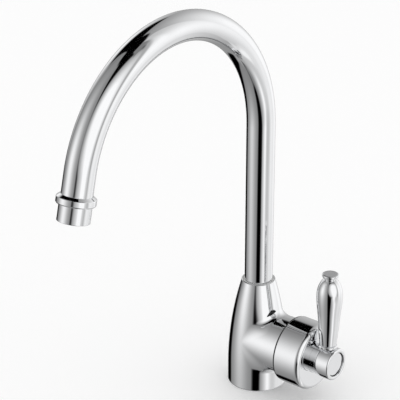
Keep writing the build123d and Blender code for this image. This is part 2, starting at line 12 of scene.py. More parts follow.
import bpy
import numpy as np
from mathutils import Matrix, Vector


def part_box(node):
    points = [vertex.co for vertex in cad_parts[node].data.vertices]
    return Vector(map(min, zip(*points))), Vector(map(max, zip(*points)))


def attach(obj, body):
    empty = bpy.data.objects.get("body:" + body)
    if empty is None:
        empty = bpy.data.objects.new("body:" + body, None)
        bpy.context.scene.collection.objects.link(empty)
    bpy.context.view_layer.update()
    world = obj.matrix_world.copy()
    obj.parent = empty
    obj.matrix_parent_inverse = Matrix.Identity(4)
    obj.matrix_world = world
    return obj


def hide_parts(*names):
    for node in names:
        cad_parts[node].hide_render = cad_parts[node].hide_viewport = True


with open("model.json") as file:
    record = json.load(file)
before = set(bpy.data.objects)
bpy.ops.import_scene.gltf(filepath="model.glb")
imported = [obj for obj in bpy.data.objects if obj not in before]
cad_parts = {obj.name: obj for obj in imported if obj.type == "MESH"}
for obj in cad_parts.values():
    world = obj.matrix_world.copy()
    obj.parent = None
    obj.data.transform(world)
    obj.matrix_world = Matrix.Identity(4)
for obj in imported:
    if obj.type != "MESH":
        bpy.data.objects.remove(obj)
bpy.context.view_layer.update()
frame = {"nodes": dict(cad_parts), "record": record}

bl_info = {
    "name": "Filtered water tap",
    "version": (1, 0, 0),
    "blender": (4, 5, 0),
    "location": "View3D > Sidebar > Tap",
    "description": "Builds a three way filtered water tap round its CAD model",
    "category": "Object",
}

MM = 0.001
TURN = 2 * math.pi

# Directions of the shared frame
X, _, Z = np.eye(3)


# ---- Sizes and colours ---------------------------------------------------------------

def length(name, words, default):
    """A property that holds a length, in metres."""
    return bpy.props.FloatProperty(name=name, description=words, default=default, min=0.0,
                                   precision=5, unit="LENGTH")


def angle(name, words, degrees):
    """A property that holds an angle, shown in degrees."""
    return bpy.props.FloatProperty(name=name, description=words, default=math.radians(degrees),
                                   subtype="ANGLE")


def share(name, words, default):
    """A property that holds a number from 0 to 1."""
    return bpy.props.FloatProperty(name=name, description=words, default=default, min=0.0,
                                   max=1.0, subtype="FACTOR")


def camera_length(name, words, default):
    """A property that holds a length of the camera, in mm."""
    return bpy.props.FloatProperty(name=name, description=words, default=default, min=1.0,
                                   unit="CAMERA")


def colour(name, words, default):
    """A property that holds a linear colour."""
    return bpy.props.FloatVectorProperty(name=name, description=words, default=default, size=3,
                                         min=0.0, max=1.0, subtype="COLOR")


def half_width(node, axis):
    """Half the size of a CAD node along one axis, in metres."""
    low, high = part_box(node)
    return (high[axis] - low[axis]) / 2


BODY_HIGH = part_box("body_casting")[1]
BONNET_LOW, BONNET_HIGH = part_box("bonnet")
HUB_LOW, HUB_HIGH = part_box("lever_hub")
PLATE_LOW, PLATE_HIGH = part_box("index_plate")
COLLAR_LOW, COLLAR_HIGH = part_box("lever_collar")
FINIAL_LOW, FINIAL_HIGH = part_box("lever_finial")
TUBE_LOW, TUBE_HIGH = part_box("spout_tube")

SLIP = 0.05 * MM           # gap round a piece that is fitted into another
STUD_BORE = 3.05 * MM      # radius of the stud's hole up the lever


class TapSpoutSizes(bpy.types.PropertyGroup):
    """Sizes of the gooseneck spout and its outlet."""

    tube_radius: length("Tube radius", "Outside radius of the spout tube",
                        half_width("spout_tube", 0))
    tube_wall: length("Tube wall", "Thickness of the tube", 1.3 * MM)
    bend_radius: length("Bend radius", "Centre line radius of the gooseneck", 113.7 * MM)
    bend_turn: angle("Bend turn", "Angle that the gooseneck turns through", 166.4)
    tube_end: length("Tube end", "Tube's end, past the end of the bend", 19.5 * MM)
    bead_start: length("Bead start", "Near side of the outlet's bead, past the end of the bend",
                       15.9 * MM)
    bead_end: length("Bead end", "Far side of the bead", 23.3 * MM)
    bead_radius: length("Bead radius", "Outside radius of the bead", 15.8 * MM)
    shell_radius: length("Shell radius", "Outside radius of the aerator's shell", 13.1 * MM)
    outlet_end: length("Outlet end", "Open end of the shell, past the end of the bend", 37.2 * MM)


class TapBodySizes(bpy.types.PropertyGroup):
    """Sizes of the body with its valve branch and bonnet."""

    base_radius: length("Base radius", "Radius of the body where it stands", BODY_HIGH.y)
    rim_radius: length("Rim radius", "Radius of the body's upper rim", 15.2 * MM)
    rim_height: length("Rim height", "Height of the upper rim", BODY_HIGH.z)
    edge: length("Edge", "Rounding of the base and the rim", 1.0 * MM)
    branch_root: length("Branch root", "Radius of the branch at the body's middle", 25.3 * MM)
    branch_radius: length("Branch radius", "Radius of the branch at its seam", 26.6 * MM)
    seam: length("Seam", "Place of the seam between branch and bonnet", BONNET_LOW.x - 1.2 * MM)
    neck_radius: length("Neck radius", "Radius of the neck under the bonnet", 23.5 * MM)
    blend_above: length("Upper blend", "Rounding between body and branch at the top", 6.0 * MM)
    blend_beside: length("Side blend", "Rounding between body and branch at the sides", 18.0 * MM)
    blend_below: length("Lower blend", "Rounding between body and branch at the bottom", 2.0 * MM)
    bonnet_radius: length("Bonnet radius", "Radius of the bonnet", half_width("bonnet", 1))
    bonnet_round: length("Bonnet rounding", "Rounding of the bonnet's front edge", 4.4 * MM)
    bevel: length("Bevel", "Bevel of the bonnet's rear edge", 0.5 * MM)
    # The black gasket stands nearly to the bonnet's radius, so its edge is painted shadow along the
    # seam
    shadow_gasket_step: length("Gasket step", "Gasket's edge, under the bonnet's surface", 0.5 * MM)


class TapHandleSizes(bpy.types.PropertyGroup):
    """Sizes of the hub and the lever."""

    stem_radius: length("Stem radius", "Radius of the hub's neck", 14.0 * MM)
    hub_start: length("Hub start", "Back face of the hub", 73.2 * MM)
    hub_back_radius: length("Hub back radius", "Radius of the hub at its back face", 14.4 * MM)
    hub_radius: length("Hub radius", "Radius of the hub at its front face", HUB_HIGH.y)
    lip: length("Lip", "Rounding of the hub's front edge", 1.6 * MM)
    recess: length("Recess radius", "Radius of the recess that the index plate lies in", 11.0 * MM)
    plate_radius: length("Plate radius", "Radius of the index plate", half_width("index_plate", 1))
    foot_radius: length("Foot radius", "Radius of the lever's foot", 5.6 * MM)
    collar_radius: length("Collar radius", "Radius of the ring at the lever's foot", COLLAR_HIGH.y)
    finial_radius: length("Finial radius", "Radius of the knob on top of the lever", FINIAL_HIGH.y)


class TapFinishes(bpy.types.PropertyGroup):
    """Colours of the finishes."""

    chrome: colour("Chrome", "Polished chrome plate", (0.86, 0.865, 0.875))
    brass: colour("Brass", "Turned brass of the hidden fittings", (0.72, 0.5, 0.2))
    rubber: colour("Rubber", "Black rubber of the seals", (0.018, 0.018, 0.019))
    plastic: colour("Plastic", "White plastic of the inner pieces", (0.72, 0.72, 0.7))
    ceramic: colour("Ceramic", "Lapped ceramic of the valve's discs", (0.8, 0.79, 0.75))
    steel: colour("Steel", "Zinc plated steel", (0.52, 0.53, 0.55))
    inlay: colour("Inlay", "Polished grey inlay on top of the lever", (0.78, 0.78, 0.79))


class TapStage(bpy.types.PropertyGroup):
    """Floor, light and camera."""

    floor: colour("Floor", "Colour of the pale floor", (0.99, 0.99, 0.99))
    floor_size: length("Floor size", "Width of the floor", 12.0)
    fill: share("Fill light", "Strength of the light that comes from all round", 1.0)
    shade: share("Shade", "Level of the studio's dark corners in the chrome", 0.01)
    lamp_strength: bpy.props.FloatProperty(name="Lamp strength", min=0.0, default=1.1,
                                           description="Strength of the lamps in the chrome")
    lens: camera_length("Lens", "Focal length of the camera", 148.29)
    sensor: camera_length("Sensor", "Width of the camera's sensor", 36.0)


# ---- Outlines ------------------------------------------------------------------------

def fillet_points(before, corner, after, radius, steps):
    """The corner of an outline, rounded: an arc that touches both straight sides.

    Each side is touched radius / tan(half the corner's angle) from the corner, and the arc is
    turned about its centre from one touching point to the other in equal angles.
    """
    towards = [(p - corner) / np.linalg.norm(p - corner) for p in (before, after)]
    half = math.acos(np.clip(towards[0] @ towards[1], -1, 1)) / 2
    reach = radius / math.tan(half)
    bisector = (towards[0] + towards[1]) / np.linalg.norm(towards[0] + towards[1])
    centre = corner + bisector * radius / math.sin(half)
    first, last = (corner + way * reach - centre for way in towards)
    sweep = math.pi - 2 * half
    at = np.linspace(0, 1, steps + 1)[:, None]
    return centre + (np.sin((1 - at) * sweep) * first + np.sin(at * sweep) * last) / math.sin(sweep)


SUPPORT = 0.06 * MM        # distance of a supporting point from its corner


def with_supports(points, closed):
    """The outline with a point close to both ends of each long straight run.

    They keep the shading of the run flat beside a rounding.
    """
    runs = list(zip(points, np.roll(points, -1, axis=0)))
    made = []
    for here, there in runs if closed else runs[:-1]:
        made.append(here)
        span = np.linalg.norm(there - here)
        if span > 8 * SUPPORT:
            step = (there - here) / span * SUPPORT
            made += [here + step, there - step]
    if not closed:
        made.append(points[-1])
    return np.array(made)


def outline(corners, closed=False, steps=8):
    """An outline of straight runs from (across, along) corners in metres.

    A corner with a third number is rounded to that radius.
    """
    points = [np.array(corner[:2]) for corner in corners]
    made = []
    for i, corner in enumerate(corners):
        if len(corner) == 3:
            after = points[(i + 1) % len(points)]
            made.append(fillet_points(points[i - 1], points[i], after, corner[2], steps))
        else:
            made.append(points[i][None])
    return with_supports(np.concatenate(made), closed)


def in_mm(corners):
    """Corners given in millimetres, in metres."""
    return [tuple(number * MM for number in corner) for corner in corners]


def spline(knots, slopes, at):
    """The smooth curve through knots (place, value), with the slopes given at its two ends.

    It is a cubic spline: piecewise cubic with its second slope unbroken at each knot, whose
    knot slopes solve one set of linear equations.
    """
    place, value = np.array(knots).T
    step = np.diff(place)
    rise = np.diff(value) / step
    count = len(place)
    matrix, known = np.eye(count), np.zeros(count)
    known[[0, -1]] = slopes
    for i in range(1, count - 1):
        matrix[i, i - 1:i + 2] = 1 / step[i - 1], 2 / step[i - 1] + 2 / step[i], 1 / step[i]
        known[i] = 3 * (rise[i - 1] / step[i - 1] + rise[i] / step[i])
    slope = np.linalg.solve(matrix, known)
    i = np.clip(np.searchsorted(place, at) - 1, 0, count - 2)
    t = (at - place[i]) / step[i]
    return ((1 + 2 * t) * (1 - t) ** 2 * value[i] + t * (1 - t) ** 2 * step[i] * slope[i]
            + t * t * (3 - 2 * t) * value[i + 1] - t * t * (1 - t) * step[i] * slope[i + 1])


# ---- Meshes --------------------------------------------------------------------------

def grid_faces(rows, columns, closed_rows=False):
    """The four sided faces of a grid of points, as rows of point numbers.

    The last column joins the first, and with closed rows the last row does so too.
    """
    i = np.arange(rows if closed_rows else rows - 1)[:, None]
    j = np.arange(columns)[None, :]
    next_i, next_j = (i + 1) % rows, (j + 1) % columns
    faces = [i * columns + j, i * columns + next_j, next_i * columns + next_j, next_i * columns + j]
    return np.stack(np.broadcast_arrays(*faces), axis=-1).reshape(-1, 4)


WELD = 0.001 * MM          # places are rounded to this where points are joined
SHARP = math.radians(35)   # edges that turn more than this are shaded sharp


def make_piece(name, points, faces, body, replaced, slot):
    """Makes a piece from points and four sided faces, welded where points coincide.

    So poles and seams are closed, and faces that shrink to a line there go. All faces are
    turned outwards, which is known from the sign of the enclosed volume: the sum of each
    triangle's triple product.
    """
    _, keep, number = np.unique(np.round(points / WELD).astype(np.int64), axis=0,
                                return_index=True, return_inverse=True)
    faces = number.reshape(-1)[faces]
    points = points[keep]
    same_as_next = faces == np.roll(faces, -1, axis=1)
    quads = faces[~same_as_next.any(axis=1)]
    folded = faces[same_as_next.sum(axis=1) == 1]
    twin = np.argmax(folded == np.roll(folded, -1, axis=1), axis=1)
    triangles = folded[np.arange(4) != twin[:, None]].reshape(-1, 3)
    fans = np.concatenate([quads[:, [0, 1, 2]], quads[:, [0, 2, 3]], triangles])
    a, b, c = points[fans].transpose(1, 0, 2)
    if np.einsum("ij,ij->", a, np.cross(b, c)) < 0:
        quads, triangles = quads[:, ::-1], triangles[:, ::-1]
    mesh = bpy.data.meshes.new(name)
    mesh.from_pydata(points, [], quads.tolist() + triangles.tolist())
    mesh.polygons.foreach_set("use_smooth", np.ones(len(mesh.polygons), dtype=bool))
    mesh.set_sharp_from_angle(angle=SHARP)
    mesh.materials.append(slot_finish(slot))
    piece = bpy.data.objects.new(name, mesh)
    bpy.context.scene.collection.objects.link(piece)
    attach(piece, body)
    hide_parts(*replaced)


def turned(profile, origin, axis, start, around=192):
    """Points of a turned surface: each outline point (across, along) carried round the axis.

    A point is origin + along * axis + across * (cos a * start + sin a * (axis x start)).
    """
    a = np.linspace(0, TURN, around, endpoint=False)
    ways = np.cos(a)[:, None] * start + np.sin(a)[:, None] * np.cross(axis, start)
    points = origin + profile[:, 1, None, None] * axis + profile[:, 0, None, None] * ways
    return points.reshape(-1, 3)


def turned_piece(name, profile, place, body, replaced, slot, closed=True, around=192):
    """Makes a turned piece. The place is (origin, axis, start), as turned() takes them."""
    points = turned(profile, *place, around=around)
    faces = grid_faces(len(profile), around, closed_rows=closed)
    make_piece(name, points, faces, body, replaced, slot)


# ---- Finishes ------------------------------------------------------------------------

NOISE_SPAN = (0.3, 0.7)    # most of a noise pattern lies between these


def new_node(tree, kind, numbers):
    """A new node with these numbers on its inputs."""
    node = tree.nodes.new(kind)
    for name, number in numbers.items():
        node.inputs[name].default_value = number
    return node


def noise(tree, scale, detail=3.0, stretch=(1, 1, 1)):
    """A noise pattern on Object coordinates, scale waves to the metre."""
    place = tree.nodes.new("ShaderNodeTexCoord")
    mapping = new_node(tree, "ShaderNodeMapping", {"Scale": stretch})
    pattern = new_node(tree, "ShaderNodeTexNoise", {"Scale": scale, "Detail": detail})
    tree.links.new(place.outputs["Object"], mapping.inputs["Vector"])
    tree.links.new(mapping.outputs["Vector"], pattern.inputs["Vector"])
    return pattern.outputs["Fac"]


def vary_colour(tree, shader, pattern, colour, spread):
    """The colour goes from 1 - spread to 1 + spread of itself with the pattern."""
    ramp = tree.nodes.new("ShaderNodeValToRGB")
    for element, place, sign in zip(ramp.color_ramp.elements, NOISE_SPAN, (-1, 1)):
        element.position = place
        element.color = [min(1.0, c * (1 + sign * spread)) for c in colour] + [1]
    tree.links.new(pattern, ramp.inputs["Fac"])
    tree.links.new(ramp.outputs["Color"], shader.inputs["Base Color"])


def vary_roughness(tree, shader, pattern, low, high):
    """The roughness goes from low to high with the pattern."""
    spread = new_node(tree, "ShaderNodeMapRange", {
        "From Min": NOISE_SPAN[0], "From Max": NOISE_SPAN[1], "To Min": low, "To Max": high})
    tree.links.new(pattern, spread.inputs["Value"])
    tree.links.new(spread.outputs["Result"], shader.inputs["Roughness"])


def add_bump(tree, shader, pattern, height):
    """The pattern stands out of the surface by this height, in metres."""
    bump = new_node(tree, "ShaderNodeBump", {"Strength": 1.0, "Distance": height})
    tree.links.new(pattern, bump.inputs["Height"])
    tree.links.new(bump.outputs["Normal"], shader.inputs["Normal"])


class Look(typing.NamedTuple):
    """A finish. One noise pattern varies its colour, and another, its grain, its roughness.

    A grain is the waves to the metre, the detail and the stretch of its pattern.
    """

    material: str
    metallic: float
    roughness: float        # where the grain isn't drawn
    colour: str             # name of its colour in the settings
    clouds: float           # waves to the metre of the colour's pattern
    spread: float           # part by which the colour varies
    grain: tuple
    rough: tuple            # lowest and highest roughness
    height: float = 0.0     # how far the grain stands out, in metres


# Finish of each material slot of the record
LOOKS = {
    # a mirror with a trace of wiping marks in its gloss
    "chrome": Look("polished_chrome", 1.0, 0.04, "chrome", 45.0, 0.012,
                   (160.0, 4.0, (1, 1, 0.35)), (0.02, 0.055)),
    # warm, with fine tool marks round the part
    "brass": Look("turned_brass", 1.0, 0.3, "brass", 120.0, 0.12,
                  (900.0, 2.0, (0.2, 0.2, 3)), (0.22, 0.42), 0.02 * MM),
    # matt, with a fine mould texture
    "black_rubber": Look("black_rubber", 0.0, 0.6, "rubber", 200.0, 0.3,
                         (2500.0,), (0.5, 0.75), 0.015 * MM),
    # half matt, with faint clouding
    "white_plastic": Look("white_plastic", 0.0, 0.4, "plastic", 90.0, 0.04,
                          (1500.0,), (0.34, 0.48), 0.008 * MM),
    # cream and glossy, with fine specks
    "ceramic": Look("lapped_ceramic", 0.0, 0.15, "ceramic", 1800.0, 0.05, (400.0,), (0.1, 0.22)),
    # grey, cloudy and half bright
    "steel": Look("plated_steel", 1.0, 0.3, "steel", 250.0, 0.1,
                  (1200.0,), (0.24, 0.4), 0.006 * MM),
    # a darker mirror, with faint turning marks
    "grey_metal": Look("polished_grey", 1.0, 0.06, "inlay", 300.0, 0.02,
                       (900.0, 3.0, (0.15, 3, 1)), (0.04, 0.08)),
}


def slot_finish(slot):
    """The material of a slot, made when it is first asked for."""
    look = LOOKS[slot]
    finish = bpy.data.materials.get(look.material)
    if finish:
        return finish
    finish = bpy.data.materials.new(look.material)
    finish.use_nodes = True
    tree = finish.node_tree
    shader = tree.nodes["Principled BSDF"]
    shader.inputs["Metallic"].default_value = look.metallic
    shader.inputs["Roughness"].default_value = look.roughness
    colour = getattr(bpy.context.scene.tap_finishes, look.colour)
    vary_colour(tree, shader, noise(tree, look.clouds), colour, look.spread)
    grain = noise(tree, *look.grain)
    vary_roughness(tree, shader, grain, *look.rough)
    if look.height:
        add_bump(tree, shader, grain, look.height)
    return finish


# ---- Body: the column and the branch as one wall ---------------------------------------

# Column's radius by height, in mm, between the edges of base and rim
WAIST = ((1.0, 26.6), (27.0, 26.5), (52.0, 24.7), (76.0, 21.0), (100.3, 15.2))
WAIST_SLOPES = (0.0, -0.27)
WAIST_STEPS = 600
AXIS_HEIGHT = (BONNET_LOW.z + BONNET_HIGH.z) / 2        # valve's axis

AROUND_BODY = 360          # columns of the body's grid, one to a degree
WINDOW_HALF = 52           # the branch's window reaches this many columns each way
WINDOW_LOW, WINDOW_HIGH = -46.0, 54.0      # elevations of the window's edges, in degrees
ROWS_BELOW, ROWS_WINDOW, ROWS_ABOVE = 30, 100, 60
RING_ROWS = 56             # rows from the window's edge to the seam
SEAM_ROUND = 0.15 * MM     # rounding of the branch's end

NEAREST, FURTHEST = 12 * MM, 90 * MM       # the wall lies between these from the middle
HALVINGS = 48
UPRIGHT_FROM = 0.6         # cosine to the upright at which the side blend starts to change
LEAST = 0.001 * MM         # keeps a distance that divides from being nothing
NEAR_PARALLEL = 0.9999     # largest cosine between two directions, for the same reason
RIM_LEAN = 0.27            # how far the side under the rim leans out, in edges

# Hidden rows of the body as (radius, height) corners, in mm: from the shank's hole out to the
# base's edge with the groove of its seal, and from the rim down the spout's socket
UNDERSIDE = ((0, 12), (14.2, 12), (14.2, 10), (16.45, 10), (16.45, 0), (20.4, 0), (20.4, 2),
             (23.6, 2), (23.6, 0))
SOCKET = ((14, 89.5), (12.8, 89.5), (12.8, 84.3), (10.06, 84.3), (10.06, 62), (3.06, 62),
          (3.06, 54), (0, 54))
# Cartridge's bore as (radius, place along the valve), in mm
NECK_END = 52
CARTRIDGE_BORE = ((19.05, NECK_END), (19.05, 44.2), (17.75, 44.2), (17.75, 20), (0, 20))


def waist(height):
    """(radius, slope) of the column at these heights, in metres."""
    grid = np.linspace(WAIST[0][0], WAIST[-1][0], WAIST_STEPS)
    radius = spline(WAIST, WAIST_SLOPES, grid)
    past = np.clip(height / MM, grid[0], grid[-1])
    slope = np.interp(past, grid, np.gradient(radius, grid))
    return np.interp(past, grid, radius) * MM + (height - past * MM) * slope, slope


def body_level(points, sizes):
    """How far points are outside the body, less than nothing inside it.

    The column's and the branch's own distances are joined by a rolling ball. Where a point is
    nearer than the ball's radius to both, and between the two directions that the walls face,
    the level is the radius less the distance to the ball's centre. With a and b the radius
    less each distance and c the cosine between the directions, that distance squared is
    (a*a + b*b - 2*a*b*c) / (1 - c*c). Elsewhere the level is the smaller distance.
    The ball's radius goes smoothly from the side blend to the upper or the lower one.
    """
    x, y, z = points.T
    rise = z - AXIS_HEIGHT
    across = np.hypot(x, y)
    radius, slope = waist(z)
    lean = np.sqrt(1 + slope ** 2)
    column = (across - radius) / lean
    column_way = np.stack([x / across, y / across, -slope], axis=1) / lean[:, None]

    taper = (sizes.branch_radius - sizes.branch_root) / sizes.seam
    stretch = np.maximum(np.hypot(y, rise), LEAST)
    behind = x < 0
    centre_gap = np.sqrt(x * x + y * y + rise * rise)
    branch = np.where(behind, centre_gap - sizes.branch_root,
                      (stretch - sizes.branch_root - taper * x) / math.hypot(1, taper))
    cone_way = np.stack([np.full_like(x, -taper), y / stretch, rise / stretch], axis=1)
    ball_way = points - [0, 0, AXIS_HEIGHT]
    branch_way = np.where(behind[:, None], ball_way / centre_gap[:, None],
                          cone_way / math.hypot(1, taper))

    upright = rise / stretch
    upright = np.clip((np.abs(upright) - UPRIGHT_FROM) / (1 - UPRIGHT_FROM), 0, 1)
    upright = upright * upright * (3 - 2 * upright)
    end = np.where(rise > 0, sizes.blend_above, sizes.blend_below)
    ball = sizes.blend_beside + (end - sizes.blend_beside) * upright
    a, b = ball - column, ball - branch
    c = np.clip(np.einsum("ij,ij->i", column_way, branch_way), -1, NEAR_PARALLEL)
    blended = (a > b * c) & (b > a * c) & (a > 0) & (b > 0)
    to_centre = np.sqrt(np.maximum((a * a + b * b - 2 * a * b * c) / (1 - c * c), 0))
    return np.where(blended, ball - to_centre, np.minimum(column, branch))


def on_wall(ways, sizes):
    """The wall's points along rays from the middle, found by halving the span over and over."""
    middle = np.array([0, 0, AXIS_HEIGHT])
    low, high = np.full(len(ways), NEAREST), np.full(len(ways), FURTHEST)
    for _ in range(HALVINGS):
        half = (low + high) / 2
        inside = body_level(middle + ways * half[:, None], sizes) < 0
        low, high = np.where(inside, half, low), np.where(inside, high, half)
    return middle + ways * low[:, None]


def direction(azimuth, elevation):
    """Unit vectors at these angles, in radians."""
    azimuth, elevation = np.broadcast_arrays(azimuth, elevation)
    flat = np.cos(elevation)
    return np.stack([flat * np.cos(azimuth), flat * np.sin(azimuth), np.sin(elevation)], axis=-1)


def evenly(values, rows):
    """Evenly spaced values between two, without the last."""
    return np.linspace(*values, rows, endpoint=False)


def body_points(sizes):
    """The body's points and faces: a grid round the column with a window, and a ring in it.

    Rays from the middle of the branch's axis meet the wall. The column's grid is even in
    azimuth and in elevation, from the base's edge to the rim. A window in it is left open
    towards the valve. The ring's rays go from the window's edge to the round seam: each keeps
    its angle round the valve's axis, and its direction moves evenly between the two.
    Turned rows carry the wall on round the base's and rim's edges and down their bores, and
    round the seam into the cartridge's bore.
    """
    azimuths = TURN * np.arange(AROUND_BODY) / AROUND_BODY
    base_at = math.atan2(sizes.edge - AXIS_HEIGHT, sizes.base_radius)
    rim_at = math.atan2(sizes.rim_height - sizes.edge - AXIS_HEIGHT, sizes.rim_radius)
    window = np.radians([WINDOW_LOW, WINDOW_HIGH])
    elevations = np.concatenate([evenly((base_at, window[0]), ROWS_BELOW),
                                 evenly(window, ROWS_WINDOW),
                                 np.linspace(window[1], rim_at, ROWS_ABOVE)])
    ways = direction(azimuths[None, :], elevations[:, None]).reshape(-1, 3)
    wall = on_wall(ways, sizes)

    # The outermost corner of each outline only gives its rounding a direction, and is cut off
    edge, top = sizes.edge, sizes.rim_height
    under = outline([*in_mm(UNDERSIDE), (sizes.base_radius, 0, edge),
                     (sizes.base_radius, 2 * edge)])[:-2]
    inward = outline([(sizes.rim_radius + RIM_LEAN * edge, top - 2 * edge),
                      (sizes.rim_radius, top, edge), (SOCKET[0][0] * MM, top),
                      *in_mm(SOCKET)])[3:]
    place = (np.zeros(3), Z, X)
    rows_under = turned(under, *place, around=AROUND_BODY)
    rows_inward = turned(inward, *place, around=AROUND_BODY)
    grid = np.concatenate([rows_under, wall, rows_inward])
    rows = len(under) + len(elevations) + len(inward)
    faces = grid_faces(rows, AROUND_BODY)

    first = len(under) + ROWS_BELOW
    last = first + ROWS_WINDOW
    row, column = faces[:, 0] // AROUND_BODY, faces[:, 0] % AROUND_BODY
    beside = np.minimum(column + 0.5, AROUND_BODY - column - 0.5) < WINDOW_HALF
    faces = faces[~((row >= first) & (row < last) & beside)]

    columns = np.arange(-WINDOW_HALF, WINDOW_HALF + 1)
    levels = np.arange(first, last + 1)
    low_side = np.stack([np.full(len(columns), first), columns])[:, :-1]
    right_side = np.stack([levels, np.full(len(levels), WINDOW_HALF)])[:, :-1]
    high_side = np.stack([np.full(len(columns), last), columns[::-1]])[:, :-1]
    left_side = np.stack([levels[::-1], np.full(len(levels), -WINDOW_HALF)])[:, :-1]
    edge_row, edge_column = np.concatenate([low_side, right_side, high_side, left_side], axis=1)
    outer = grid[edge_row * AROUND_BODY + edge_column % AROUND_BODY]
    outer_way = outer - [0, 0, AXIS_HEIGHT]
    outer_way /= np.linalg.norm(outer_way, axis=1)[:, None]
    lean = np.arctan2(outer_way[:, 1], outer_way[:, 2])
    radial = np.stack([np.zeros_like(lean), np.sin(lean), np.cos(lean)], axis=1)
    seam_radius = sizes.branch_radius
    seam_way = (sizes.seam - SEAM_ROUND) * X + seam_radius * radial
    seam_way /= np.linalg.norm(seam_way, axis=1)[:, None]
    part = np.linspace(0, 1, RING_ROWS)[1:, None, None]
    ring_ways = outer_way * (1 - part) + seam_way * part
    ring_ways /= np.linalg.norm(ring_ways, axis=2)[:, :, None]
    ring = on_wall(ring_ways.reshape(-1, 3), sizes)
    # Its first points are cut off: one that only gives a direction, and the ring's last one
    neck = outline([(seam_radius, sizes.seam - 1 * MM), (seam_radius, sizes.seam, SEAM_ROUND),
                    (sizes.neck_radius, sizes.seam), (sizes.neck_radius, NECK_END * MM),
                    *in_mm(CARTRIDGE_BORE)])[4:]
    bore = (neck[:, 1, None, None] * X + neck[:, 0, None, None] * radial
            + [0, 0, AXIS_HEIGHT]).reshape(-1, 3)
    ring_points = np.concatenate([outer, ring, bore])
    ring_faces = grid_faces(RING_ROWS + len(neck), len(outer)) + len(grid)
    return np.concatenate([grid, ring_points]), np.concatenate([faces, ring_faces])


# ---- Operators -----------------------------------------------------------------------

class TapOperator:
    """What the tap's operators have in common."""

    bl_options = {"REGISTER", "UNDO"}

    def execute(self, context):
        """Builds the operator's pieces in the scene."""
        self.build(context.scene)
        return {"FINISHED"}


class TAP_OT_body(TapOperator, bpy.types.Operator):
    """Build the body with its valve branch"""

    bl_idname = "tap.body"
    bl_label = "Body"

    def build(self, scene):
        points, faces = body_points(scene.tap_body)
        make_piece("body_shell", points, faces, "tap_body", ["body_casting"], "chrome")


# Bonnet's hole as (radius, place along the valve), in mm: past the hub's neck, round the bush
# that the neck turns in, and the space over the cartridge
BONNET_HOLE = ((14.08, 65.3), (16.85, 65.3), (16.85, 61.5), (25.6, 61.5), (25.6, NECK_END))


class TAP_OT_bonnet(TapOperator, bpy.types.Operator):
    """Build the bonnet over the cartridge and the black gasket behind it, whose edge paints the
    seam's shadow line
    """

    bl_idname = "tap.bonnet"
    bl_label = "Bonnet"

    def build(self, scene):
        sizes = scene.tap_body
        back, face = BONNET_LOW.x, BONNET_HIGH.x
        inner = sizes.neck_radius + SLIP
        profile = outline([
            (inner, back), (sizes.bonnet_radius - sizes.bevel, back),
            (sizes.bonnet_radius, back + sizes.bevel, 0.2 * MM),
            (sizes.bonnet_radius, face, sizes.bonnet_round), (BONNET_HOLE[0][0] * MM, face),
            *in_mm(BONNET_HOLE), (inner, NECK_END * MM)],
            closed=True, steps=24)
        place = (AXIS_HEIGHT * Z, X, Z)
        turned_piece("bonnet_shell", profile, place, "tap_body", ["bonnet"], "chrome", around=384)
        # A real gasket, widened nearly to the bonnet's radius: its black edge is painted shadow, a
        # dark line in place of the shadow gap at the seam
        outer = sizes.bonnet_radius - sizes.shadow_gasket_step
        seal = outline([(inner, sizes.seam), (outer, sizes.seam, 0.1 * MM), (outer, back, 0.1 * MM),
                        (inner, back)], closed=True)
        turned_piece("seam_seal", seal, place, "tap_body", ["bonnet_gasket"], "black_rubber",
                     around=256)


AROUND_TUBE = 128
BEND_ROWS, RISER_ROWS, END_ROWS = 150, 24, 5


class TAP_OT_spout(TapOperator, bpy.types.Operator):
    """Build the gooseneck tube"""

    bl_idname = "tap.spout"
    bl_label = "Spout"

    def build(self, scene):
        sizes = scene.tap_spout
        path, sides = spout_route(sizes)
        a = np.linspace(0, TURN, AROUND_TUBE, endpoint=False)[None, :, None]
        outer, inner = (path[:, None] + radius * (np.cos(a) * X + np.sin(a) * sides[:, None])
                        for radius in (sizes.tube_radius, sizes.tube_radius - sizes.tube_wall))
        points = np.concatenate([outer, inner[::-1]]).reshape(-1, 3)
        faces = grid_faces(2 * len(path), AROUND_TUBE, closed_rows=True)
        make_piece("gooseneck", points, faces, "spout", ["spout_tube"], "chrome")


def bend(sizes, turn):
    """(points, directions) of the bend's centre line, turned by these angles from the riser.

    A point is bend_radius * (1 - cos) out over the sink and bend_radius * sin over the riser.
    """
    riser_top = TUBE_HIGH.z - sizes.bend_radius - sizes.tube_radius
    points = np.stack([0 * turn, -sizes.bend_radius * (1 - np.cos(turn)),
                       riser_top + sizes.bend_radius * np.sin(turn)], axis=-1)
    return points, np.stack([0 * turn, -np.sin(turn), np.cos(turn)], axis=-1)


def spout_route(sizes):
    """Points along the spout's centre line, and a vector across it at each.

    It goes straight up the riser, then round the bend and straight on.
    """
    points, ways = bend(sizes, np.linspace(0, sizes.bend_turn, BEND_ROWS))
    riser = np.linspace(TUBE_LOW.z, points[0, 2], RISER_ROWS, endpoint=False)[:, None] * Z
    end = points[-1] + np.linspace(0, sizes.tube_end, END_ROWS + 1)[1:, None] * ways[-1]
    path = np.concatenate([riser, points, end])
    ways = np.concatenate([np.tile(Z, (RISER_ROWS, 1)), ways, np.tile(ways[-1], (END_ROWS, 1))])
    return path, np.cross(ways, X)


THREAD_BORE = 11.65 * MM   # the bead's own thread
SHELL_THREAD, SHELL_BORE = 11.6 * MM, 10.45 * MM
SHELL_TOP = 21.3 * MM      # upper end of the shell, past the end of the bend


